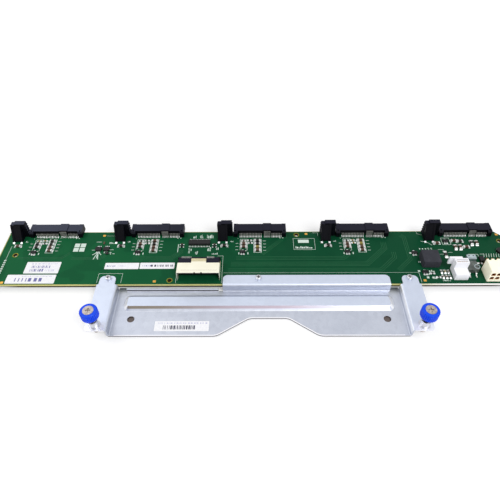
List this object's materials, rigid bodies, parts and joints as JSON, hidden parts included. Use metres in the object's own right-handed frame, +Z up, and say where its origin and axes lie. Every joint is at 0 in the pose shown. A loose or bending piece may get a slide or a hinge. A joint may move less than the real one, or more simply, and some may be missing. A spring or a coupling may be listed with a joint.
{
  "type": "drive backplane board",
  "caption": "Long circuit board with a row of rear-facing drive connectors, screwed to a folded sheet bracket with spring-loaded captive thumbscrews",
  "frame": {"origin": "midway between the two locating holes, on the underside of the bracket's plate", "axes": "+X to the right along the board, +Y away from the bracket towards the drives, +Z up from the plate"},
  "size_m": [0.4168, 0.1052, 0.0265],
  "materials": {
    "board_green": "solder mask, satin",
    "galvanised_sheet": "zinc plated sheet, satin",
    "connector_black": "moulded, matt",
    "tinned_contact": "tin plated",
    "gold_contact": "gold plated",
    "cage_metal": "plated sheet",
    "ivory_plastic": "moulded, satin",
    "white_plastic": "moulded, satin",
    "blue_plastic": "moulded, satin",
    "plated_screw": "nickel plated",
    "spring_steel": "drawn wire",
    "ceramic_brown": "sintered ceramic",
    "chip_black": "moulded, matt"
  },
  "bodies": {
    "board_and_bracket": {"aux_connector": "white_plastic", "aux_pins": "tinned_contact", "board_nuts": "plated_screw", "board_screws": "plated_screw", "chip_capacitors": "ceramic_brown", "chip_resistors": "chip_black", "circuit_board": "board_green", "controller_chip": "chip_black", "controller_chip_leads": "tinned_contact", "data_cage": "cage_metal", "data_contacts": "gold_contact", "data_housing": "connector_black", "drive_connector_1": "connector_black", "drive_connector_2": "connector_black", "drive_connector_3": "connector_black", "drive_connector_4": "connector_black", "drive_connector_5": "connector_black", "drive_contacts_1": "tinned_contact", "drive_contacts_2": "tinned_contact", "drive_contacts_3": "tinned_contact", "drive_contacts_4": "tinned_contact", "drive_contacts_5": "tinned_contact", "driver_chip_leads": "tinned_contact", "driver_chips": "chip_black", "filter_coil": "chip_black", "left_retainer": "plated_screw", "load_switch_leads": "tinned_contact", "load_switches": "chip_black", "mounting_bracket": "galvanised_sheet", "power_connector": "ivory_plastic", "power_inductor": "chip_black", "power_pins": "tinned_contact", "right_retainer": "plated_screw", "signal_connector_1": "connector_black", "signal_connector_2": "connector_black", "signal_connector_3": "connector_black", "signal_connector_4": "connector_black", "signal_connector_5": "connector_black", "signal_contacts_1": "gold_contact", "signal_contacts_2": "gold_contact", "signal_contacts_3": "gold_contact", "signal_contacts_4": "gold_contact", "signal_contacts_5": "gold_contact", "transistors": "chip_black"},
    "left_spring_seat": {"left_spring": "spring_steel"},
    "left_thumbscrew": {"left_knob": "blue_plastic", "left_captive_screw": "plated_screw"},
    "right_spring_seat": {"right_spring": "spring_steel"},
    "right_thumbscrew": {"right_knob": "blue_plastic", "right_captive_screw": "plated_screw"}
  },
  "joints": [
    {"name": "left_press", "type": "slide", "parent": "board_and_bracket", "child": "left_spring_seat", "axis": [0, 0, -1], "range_m": [0, 0.0085], "stiffness_N_per_m": 300, "springref_m": -0.006, "deforming": ["left_spring"]},
    {"name": "left_turn", "type": "hinge", "parent": "left_spring_seat", "child": "left_thumbscrew", "pos_m": [-0.118, -0.0096, 0.007], "axis": [0, 0, 1], "continuous": true},
    {"name": "right_press", "type": "slide", "parent": "board_and_bracket", "child": "right_spring_seat", "axis": [0, 0, -1], "range_m": [0, 0.0085], "stiffness_N_per_m": 300, "springref_m": -0.006, "deforming": ["right_spring"]},
    {"name": "right_turn", "type": "hinge", "parent": "right_spring_seat", "child": "right_thumbscrew", "pos_m": [0.118, -0.0096, 0.007], "axis": [0, 0, 1], "continuous": true}
  ]
}
